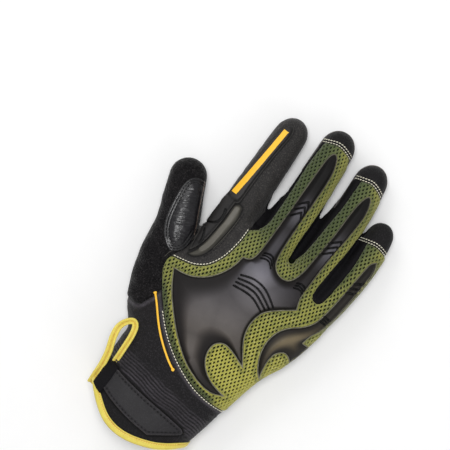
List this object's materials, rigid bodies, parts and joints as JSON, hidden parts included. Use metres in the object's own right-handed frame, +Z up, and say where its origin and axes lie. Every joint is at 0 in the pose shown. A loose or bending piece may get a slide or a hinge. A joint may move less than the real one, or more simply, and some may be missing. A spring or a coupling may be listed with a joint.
{
  "type": "mechanic glove",
  "caption": "Right-hand work glove with a mesh back, moulded knuckle and finger guards, fitted cuff and pull loop, hollow for the hand.",
  "frame": {"origin": "on the floor under the middle of the glove's bounding box, the glove lying palm down", "axes": "+Z up out of the back of the hand, +Y from the cuff towards the fingertips, -X towards the thumb"},
  "size_m": [0.1538, 0.2516, 0.0447],
  "materials": {
    "palm_suede": "napped synthetic suede, matt",
    "leather": "smooth leather with fine creases, satin, double stitched",
    "mesh": "olive and yellow-green open spacer mesh over a dark backing",
    "neoprene": "smooth black stretch fabric, matt",
    "terry": "black looped towelling",
    "elastic": "black gathered stretch fabric",
    "binding": "yellow folded tape, satin",
    "label": "black moulded tab, matt, double stitched",
    "guard_rubber": "dark grey-brown moulded rubber, satin",
    "grey_rubber": "grey moulded rubber, satin",
    "pale_rubber": "pale grey moulded rubber, satin"
  },
  "bodies": {
    "root": {"palm": "palm_suede", "palm_patch": "leather", "tip_pad_middle": "leather", "tip_pad_ring": "leather", "thumb_patch": "leather", "back_mesh": "mesh", "index_back": "neoprene", "thumb_back": "terry", "gusset_index_middle": "neoprene", "gusset_middle_ring": "neoprene", "gusset_ring_little": "neoprene", "cap_middle": "neoprene", "cap_ring": "neoprene", "cap_little": "neoprene", "cuff_back": "elastic", "cuff_palm": "elastic", "cuff_binding": "binding", "cuff_label": "label", "pull_loop": "binding", "knuckle_guard": "guard_rubber", "side_guard": "guard_rubber", "index_guard": "grey_rubber", "index_claw": "pale_rubber"}
  },
  "joints": []
}
